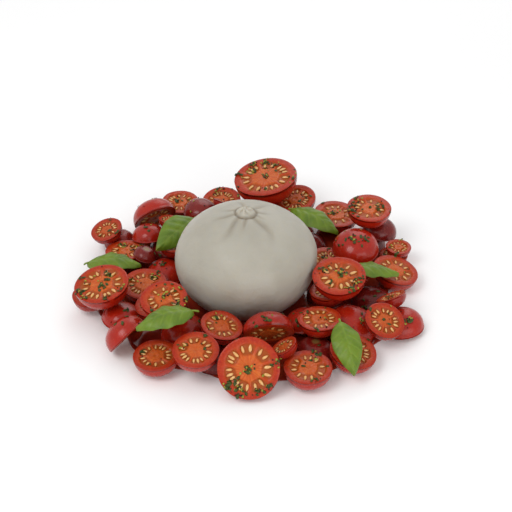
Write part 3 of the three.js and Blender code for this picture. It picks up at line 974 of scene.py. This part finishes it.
def make_leaf(leaf_read, index):
    """One finished leaf, closed all round, with a short stalk, in place of its solid."""
    dice = random.Random(50 + index)
    rows = leaf_sheet(leaf_read["length"], leaf_read["width"], dice)
    wide, below = LEAF_COLUMNS, LEAF_ROWS * LEAF_COLUMNS
    corners = [i * wide + j for i in range(LEAF_ROWS - 1) for j in range(wide - 1)]
    upper_faces = [(a, a + wide, a + wide + 1, a + 1) for a in corners]
    shape = Shape()
    for side, faces in ((1, upper_faces), (-1, [face[::-1] for face in upper_faces])):
        points, veins = leaf_side(rows, side)
        shape.add(points, faces, vein=veins, under=float(side < 0))
    border = list(range(wide)) + list(range(2 * wide - 1, below, wide))
    border += list(range(below - 2, below - wide - 1, -1)) + list(range(below - 2 * wide, 0, -wide))
    shape.join([(a, b, b + below, a + below) for a, b in zip(border, border[1:] + border[:1])])
    add_stalk(shape, rows[2][wide // 2][0], dice)
    piece_name = leaf_read["name"].replace("basil_leaf", "basil")
    made = shape.as_object(piece_name, [leaf_finish], leaf_read["place"])
    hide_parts(leaf_read["name"])
    return made


basil = [make_leaf(leaf_read, i) for i, leaf_read in enumerate(leaves)]
print("basil leaves:", len(basil))

# %% [markdown]
# ## Small halves deep in the bed
#
# A bed like this has more halves than the frame has solids, and small ones fill the gaps between the
# others. These have no solids. A rigid body simulation would shake the whole salad out of its place. So
# each is let down, on a grid of the heights so far, where it lies low, covers much bare floor and has
# something under it on every side. Small slides and leans then bring it lower, and it is part of the heap.
# The leaves and most of each open cut face stay in sight.

# %% Heights of the heap
CELL = 1 * MM
GRID_REACH = 110 * MM
GRID_TOP = 100 * MM
HALF_DEPTH = 0.84
LEAF_IN_SIGHT = 9
CUT_IN_SIGHT = 0.62


def tree_of(objects):
    """One search tree over several meshes, and the number of the object that each face belongs to."""
    points, faces, owners = [], [], []
    for number, one in enumerate(objects):
        start = len(points)
        points.extend(v.co for v in one.data.vertices)
        faces.extend([start + i for i in face.vertices] for face in one.data.polygons)
        owners.extend([number] * len(one.data.polygons))
    return BVHTree.FromPolygons(points, faces), owners


def heights_of(objects):
    """The height of the top of these objects above each cell of a square grid."""
    tree = tree_of(objects)[0]
    side = round(2 * GRID_REACH / CELL) + 1
    heights = np.zeros((side, side))
    for column in range(side):
        for row in range(side):
            start = Vector((column * CELL - GRID_REACH, row * CELL - GRID_REACH, GRID_TOP))
            met = tree.ray_cast(start, Vector((0, 0, -1)))[0]
            heights[column, row] = met.z if met else 0.0
    return heights


def cloud_of_half(radius, spacing):
    """Points all over a plain half whose cut faces up at height 0."""
    cloud = []
    rings = math.ceil(radius * math.pi / 2 / spacing)
    for i in range(rings + 1):
        turn = math.pi / 2 * i / rings
        out = radius * max(0.0, math.cos(turn)) ** (2 / HALF_ROUNDNESS)
        deep = -HALF_DEPTH * radius * math.sin(turn) ** (2 / HALF_ROUNDNESS)
        for reach, height in ((out, deep), (radius * i / rings, 0.0)):
            count = max(1, math.ceil(2 * math.pi * reach / spacing))
            cloud += [around(reach, angle, height) for angle in angles_round(count)]
    return np.array(cloud)


def cells_under(cloud, spots):
    """The columns and rows of the grid under a cloud of points, for each spot that it is tried at."""
    places = spots[:, None, :] + cloud[None, :, :2] + GRID_REACH
    cells = np.rint(places / CELL).astype(int)
    return cells[..., 0], cells[..., 1]


def cells_in_sight():
    """The cells over the leaves and just in front of them, and over the open cuts, which stay uncovered."""
    over_leaves = heights_of(basil) > 0
    in_sight = over_leaves.copy()
    for cells in range(1, LEAF_IN_SIGHT + 1):
        in_sight |= np.roll(over_leaves, -cells, axis=1)
    places = (np.indices(in_sight.shape) * CELL - GRID_REACH).transpose(1, 2, 0)
    for half in halves:
        if half["normal"].z > 0 and not half["name"].startswith("under"):
            off = np.linalg.norm(places - np.array(half["middle"].xy), axis=2)
            in_sight |= off < CUT_IN_SIGHT * half["radius"]
    return in_sight


heights = heights_of(tomatoes + basil + [burrata])
in_sight = cells_in_sight()
print("highest in mm:", round(heights.max() / MM, 1), "and cells kept in sight:", int(in_sight.sum()))

# %% Letting the small halves down
DEEP_HALVES = 66
LARGEST_DEEP = 12.3
DEEP_SHRINK = 5.3
DEEP_SPREAD = 0.8
DEEP_REACH = 93 * MM
DEEP_INNER_REACH = 44 * MM
DEEP_HIGHEST = 19 * MM
DEEP_CENTRE = 0.38
EDGE_STARTS = 68 * MM
EDGE_SLOPE = 0.2
BARE_BELOW = 1 * MM
FLOOR_WORTH = 0.03 * MM
LEAST_FLOOR = 12
LEAST_GAP = 0.3 * MM
TOUCHING = 1.5 * MM
FARTHEST_LEAN = 5 * MM
TRIED_SPACING = 1.6 * MM
KEPT_SPACING = 0.6 * MM
SETTLING_TRIES = 160
SLIDE = 0.8 * MM
LEAN = 0.12
FARTHEST_SLIDE = 5 * MM
LEAST_UPRIGHT = 0.8


def turned_cloud(cloud, normal):
    """A cloud of points turned so that its cut faces this way."""
    return cloud @ np.array(turn_to(normal, 0).to_3x3()).T


def rest_at(cloud, spots, normal):
    """For each spot, how far a cloud of points is lifted to rest there, and its share over bare floor.
    It cannot rest where it would cover what stays in sight, or where all that it touches is to one side."""
    turned = turned_cloud(cloud, normal)
    cells = cells_under(turned, spots)
    below = heights[cells]
    lifts = (below - turned[:, 2]).max(axis=1)
    touching = lifts[:, None] - (below - turned[:, 2]) < TOUCHING
    leans = np.linalg.norm(touching @ turned[:, :2], axis=1) / touching.sum(axis=1)
    lifts[in_sight[cells].any(axis=1) | (leans > FARTHEST_LEAN)] = math.inf
    return lifts + LEAST_GAP, (below < BARE_BELOW).mean(axis=1)


def best_spot(cloud, radius, centre):
    """Where a half lies low and covers much bare floor, with its cut up or down.
    Gives how good that is, where the least is the best, and the spot and the direction of the cut."""
    too_far = np.abs(spots).max(axis=1) + radius > salad_high.x - 1 * MM
    choices = []
    for normal in (Vector((0, 0, 1)), Vector((0, 0, -1))):
        lifts, bare = rest_at(cloud, spots, normal)
        floor_cells = bare * math.pi * (radius / CELL) ** 2
        centres = lifts - centre * normal.z
        centres[too_far | (centres > highest) | (floor_cells < LEAST_FLOOR)] = math.inf
        worth = centres - FLOOR_WORTH * floor_cells + dice.uniform(0, 4) * MM
        choices.append((float(worth.min()), spots[worth.argmin()], normal))
    return min(choices, key=lambda choice: choice[0])


def settle(cloud, spot, normal, centre):
    """Small random slides and leans from a spot, each kept if the middle of the half comes lower.
    Gives the height of its middle, the spot and the direction of the cut."""
    best = (rest_at(cloud, spot[None], normal)[0][0] - centre * normal.z, spot, normal)
    for _ in range(SETTLING_TRIES):
        tried = best[1] + np.array((dice.gauss(0, SLIDE), dice.gauss(0, SLIDE)))
        leaned = (best[2] + Vector(dice.gauss(0, LEAN) for _ in range(3))).normalized()
        height = rest_at(cloud, tried[None], leaned)[0][0] - centre * leaned.z
        near = np.abs(tried - spot).max() < FARTHEST_SLIDE
        if height < best[0] and near and leaned.z * normal.z > LEAST_UPRIGHT:
            best = (height, tried, leaned)
    return best


steps = np.arange(-DEEP_REACH, DEEP_REACH, 2 * MM)
spots = np.array([(x, y) for x in steps for y in steps if DEEP_INNER_REACH < math.hypot(x, y) < DEEP_REACH])
highest = DEEP_HIGHEST - EDGE_SLOPE * np.maximum(0, np.linalg.norm(spots, axis=1) - EDGE_STARTS)
dice = random.Random(31)
deep_halves = []
for number in range(1, DEEP_HALVES + 1):
    shrink = DEEP_SHRINK * number / DEEP_HALVES
    radius = (LARGEST_DEEP - shrink + dice.uniform(-DEEP_SPREAD, DEEP_SPREAD)) * MM
    centre = DEEP_CENTRE * HALF_DEPTH * radius
    cloud = cloud_of_half(radius, TRIED_SPACING)
    worth, spot, normal = best_spot(cloud, radius, centre)
    if math.isinf(worth):
        continue
    height, spot, normal = settle(cloud, spot, normal, centre)
    lift = height + centre * normal.z
    turned = turned_cloud(cloud_of_half(radius, KEPT_SPACING), normal)
    columns, rows = cells_under(turned, spot[None])
    np.maximum.at(heights, (columns[0], rows[0]), turned[:, 2] + lift)
    name, middle = f"deep_half_{len(deep_halves) + 1:02d}", Vector((*spot, lift))
    size = {"radius": radius, "depth": HALF_DEPTH * radius}
    deep_halves.append({"name": name, "middle": middle, "normal": normal, **size})
tomatoes += [make_half(half, len(halves) + i) for i, half in enumerate(deep_halves)]
halves += deep_halves
print("small halves deep in the bed:", len(deep_halves))

# %% [markdown]
# ## Juice, dark with painted shade
#
# Salted tomatoes weep, and their juice spreads under them as a thin, shiny film with a rounded edge. Its
# dark red is painted shade, so that the gaps between the halves look deep. A fluid simulation would take
# minutes to find the same puddle, so the film reaches as far as the tomatoes do, less a little, and is most
# of a millimetre thick.

# %% The juice, dark with painted shade
JUICE_THICKNESS = 0.7 * MM
JUICE_LIFT = 0.01 * MM
JUICE_EDGE = 1.2 * MM
JUICE_LEAST = 0.05 * MM
JUICE_SECTORS = 180
JUICE_SMOOTHING = 4
JUICE_SHORT = 0.15
JUICE_HOLLOW = 18
JUICE_RAGGED = 0.04
JUICE_SHARES = [1.0, 0.998, 0.993, 0.985, 0.975, 0.95, 0.9, 0.8, 0.65, 0.5, 0.35, 0.2, 0.08]

juice_and_shade = Finish("tomato_juice", Roughness=0.12, Coat_Weight=0.5, Coat_Roughness=0.05, IOR=1.36)
juice_cloud = juice_and_shade.ease(juice_and_shade.speckle(scale=70, detail=3.0), 0.35, 0.7)
juice_and_shade_finish = juice_and_shade.paint(
    # juice reds, kept this dark as painted shade in the gaps between the halves
    Base_Color=juice_and_shade.mix(juice_cloud, (0.20, 0.014, 0.007), (0.29, 0.030, 0.010)),
    Normal=juice_and_shade.bump(juice_and_shade.speckle(scale=120, detail=1.0), 0.3 * MM),
)


def juice_reach(angle):
    """How far the juice spreads in a direction: nearly as far as the tomatoes there."""
    reach = 0.0
    for half in halves:
        across = half["middle"].xy.angle_signed(Vector(around(1.0, angle)[:2]), 0.0)
        short = (JUICE_SHORT + JUICE_HOLLOW * across**2) * half["radius"]
        reach = max(reach, half["middle"].xy.length * math.cos(across) - short)
    return reach


reaches = np.array([juice_reach(angle) for angle in angles_round(JUICE_SECTORS)])
nearby = range(-JUICE_SMOOTHING, JUICE_SMOOTHING + 1)
reaches = sum(np.roll(reaches, k) for k in nearby) / len(nearby)
points = []
for share in JUICE_SHARES:
    for angle, reach in zip(angles_round(JUICE_SECTORS), reaches):
        x, y, _ = around(reach * share, angle)
        ragged = 1 + JUICE_RAGGED * noise.noise(Vector((x, y, 0)) * 50)
        from_edge = min(1.0, reach * (1 - share) / JUICE_EDGE)
        height = JUICE_THICKNESS * math.sqrt(1 - (1 - from_edge) ** 2)
        points.append((x * ragged, y * ragged, max(JUICE_LEAST, height)))
top, under = len(points), len(points) + 1
points += [(0, 0, JUICE_THICKNESS)] + [(x, y, JUICE_LIFT) for x, y, z in points[:JUICE_SECTORS]]
faces = ring_faces(len(JUICE_SHARES), JUICE_SECTORS)
faces += fan_faces(top - JUICE_SECTORS, JUICE_SECTORS, top)
faces += band_faces(under, 0, JUICE_SECTORS)
faces += fan_faces(under, JUICE_SECTORS, len(points), flipped=True)
puddle = Shape().add(points + [(0, 0, JUICE_LIFT)], faces).as_object("tomato_juice", [juice_and_shade_finish])
print("juice reaches in mm:", round(min(reaches) / MM), "to", round(max(reaches) / MM))

# %% [markdown]
# ## Herbs and pepper
#
# Chopped herbs and ground pepper stick where they fall on wet tomato, mostly in small heaps. A particle
# system would hide where each bit lies, and it cannot be carried to another program. So each bit is a small
# closed mesh, dropped on the tomatoes along a ray and turned to lie on what it meets. Each kind is one
# piece.

# %% Herb and pepper finishes
herb = Finish("chopped_herb", Roughness=0.5, Specular_IOR_Level=0.3)
herb_green = herb.mix(herb.speckle(scale=300), (0.020, 0.033, 0.005), (0.065, 0.090, 0.010))
herb_finish = herb.paint(Base_Color=herb.mix(herb.painted("yellow"), herb_green, (0.36, 0.33, 0.035)))

ground = Finish("ground_pepper", Roughness=0.7, Specular_IOR_Level=0.3)
husks = ground.ease(ground.speckle(scale=900), 0.5, 0.7)
pepper_finish = ground.paint(Base_Color=ground.mix(husks, (0.012, 0.009, 0.006), (0.11, 0.06, 0.03)))
print("made", herb_finish.name, "and", pepper_finish.name)

# %% Small bits
HERB_THICKNESS = 0.16 * MM
GRAIN_RINGS = (-45, 0, 45)
GRAIN_SECTORS = 6


def herb_bit(dice, size):
    """A torn bit of leaf, flat on XY and a little curled."""
    corners = dice.choice([4, 5, 6])
    long = dice.uniform(1.0, 1.9)
    curl = dice.uniform(-0.25, 0.25)
    points = []
    for z in (0.5 * HERB_THICKNESS, -0.5 * HERB_THICKNESS):
        for i in range(corners):
            angle = 2 * math.pi * (i + dice.uniform(-0.2, 0.2)) / corners
            reach = 0.5 * size * dice.uniform(0.75, 1.1)
            points.append((reach * long * math.cos(angle), reach * math.sin(angle), z + curl * reach))
    points += [(0, 0, 0.5 * HERB_THICKNESS), (0, 0, -0.5 * HERB_THICKNESS)]
    faces = fan_faces(0, corners, 2 * corners) + fan_faces(corners, corners, 2 * corners + 1, flipped=True)
    return points, faces + band_faces(corners, 0, corners)


def pepper_grain(dice, size):
    """A broken grain: a rough ball of a few rings between two points."""
    points = [(0, 0, -0.5 * size)]
    for turn in map(math.radians, GRAIN_RINGS):
        for i in range(GRAIN_SECTORS):
            angle = 2 * math.pi * (i + dice.uniform(-0.2, 0.2)) / GRAIN_SECTORS
            reach = 0.5 * size * dice.uniform(0.7, 1.1) * math.cos(turn)
            points.append(around(reach, angle, 0.5 * size * math.sin(turn)))
    return points + [(0, 0, 0.5 * size)], closed_faces(len(GRAIN_RINGS), GRAIN_SECTORS)


print("points of a grain:", len(pepper_grain(random.Random(1), MM)[0]))

# %% Where the bits fall
LYING = 0.15
LEAST_LEVEL = 0.3
DROP_HEIGHT = 25 * MM
DROP_REACH = 45 * MM
RAIN_HEIGHT = 90 * MM
LOOSE_BITS = 300
HEAPS = {
    # compass directions in degrees, and shares of the radius
    "top_half_front": [
        (0, 0.0), (236, 0.82), (258, 0.85), (282, 0.84), (305, 0.86), (20, 0.86), (248, 0.62)
    ],
    "top_half_back": [(0, 0.0), (62, 0.66), (88, 0.78), (118, 0.84), (135, 0.6), (165, 0.9)],
    "top_half_right": [(322, 0.75), (300, 0.86), (342, 0.8), (150, 0.7), (60, 0.15)],
    "top_half_right_back": [(168, 0.72), (195, 0.86), (128, 0.8), (20, 0.5)],
    "top_half_left": [(228, 0.9), (205, 0.8), (58, 0.5), (0, 0.1)],
    "top_half_centre_left": [(318, 0.72), (342, 0.84), (296, 0.84), (100, 0.12)],
}

salad_tree, owners = tree_of(tomatoes + basil + [burrata])


def drop(start, direction, farthest):
    """Where a ray first meets a tomato, and the way the tomato faces there. None on cheese or a leaf."""
    spot, normal, face, _ = salad_tree.ray_cast(start, direction, farthest)
    if spot is None or owners[face] >= len(tomatoes):
        return None
    return spot, normal if normal.dot(direction) < 0 else -normal


def heap_on(half, dice, direction, out_share, spread, count):
    """Places of a small heap of bits on a half, towards a compass direction by a share of its radius."""
    facing = half["normal"] if half["normal"].z > LYING else Vector((0, 0, 1))
    level = Vector(around(1.0, math.radians(direction)))
    level = (level - facing * level.dot(facing)).normalized()
    middle = half["middle"] + level * half["radius"] * out_share
    found = []
    for _ in range(count):
        off = Vector(dice.gauss(0, spread) for _ in range(3))
        off -= facing * off.dot(facing)
        met = drop(middle + off + facing * DROP_HEIGHT, -facing, DROP_REACH)
        if met:
            heaped = dice.uniform(0.1, 0.9) * MM * bell(off.length, spread)
            found.append((met[0] + met[1] * heaped, met[1]))
    return found


dice = random.Random(77)
fallen = []
for half in halves:
    if half["name"] in HEAPS:
        for direction, out_share in HEAPS[half["name"]]:
            fallen += heap_on(half, dice, direction, out_share, 1.6 * MM, dice.randint(11, 16))
    elif half["name"].startswith("bed"):
        for _ in range(dice.choice([1, 1, 2])):
            direction, out_share = dice.uniform(0, 360), dice.uniform(0.1, 0.85)
            fallen += heap_on(half, dice, direction, out_share, 1.6 * MM, dice.randint(7, 15))
    else:
        direction, out_share = dice.uniform(0, 360), dice.uniform(0.1, 0.8)
        fallen += heap_on(half, dice, direction, out_share, 1.8 * MM, dice.randint(1, 6))
for _ in range(LOOSE_BITS):
    angle, out = dice.uniform(0, 2 * math.pi), dice.uniform(42, 95) * MM
    met = drop(Vector(around(out, angle, RAIN_HEIGHT)), Vector((0, 0, -1)), RAIN_HEIGHT + 10 * MM)
    if met and met[1].z > LEAST_LEVEL:
        fallen.append(met)
print("bits on the tomatoes:", len(fallen))

# %% Laying the bits
HERB_CHANCE = 0.62
YELLOW_CHANCE = 0.33
GRAIN_PROUD = 0.35

herbs = Shape()
peppers = Shape()
for spot, normal in fallen:
    turn = turn_to(normal, dice.uniform(0, 2 * math.pi)) @ Matrix.Rotation(dice.uniform(-0.35, 0.35), 4, "X")
    if dice.random() < HERB_CHANCE:
        yellow = dice.random() < YELLOW_CHANCE
        size = dice.uniform(0.9, 1.5) * MM if yellow else dice.uniform(1.1, 2.3) * MM
        points, faces = herb_bit(dice, size)
        place = Matrix.Translation(spot + normal * dice.uniform(0.10, 0.45) * MM) @ turn
        yellowness = dice.uniform(0.6, 1.0) if yellow else 0.0
        herbs.add([place @ Vector(p) for p in points], faces, yellow=yellowness)
    else:
        size = dice.uniform(0.5, 1.1) * MM
        points, faces = pepper_grain(dice, size)
        place = Matrix.Translation(spot + normal * GRAIN_PROUD * size) @ turn
        peppers.add([place @ Vector(p) for p in points], faces)
chopped = herbs.as_object("chopped_herbs", [herb_finish])
ground_pepper = peppers.as_object("ground_pepper", [pepper_finish])
print("faces of herbs and pepper:", len(chopped.data.polygons), len(ground_pepper.data.polygons))
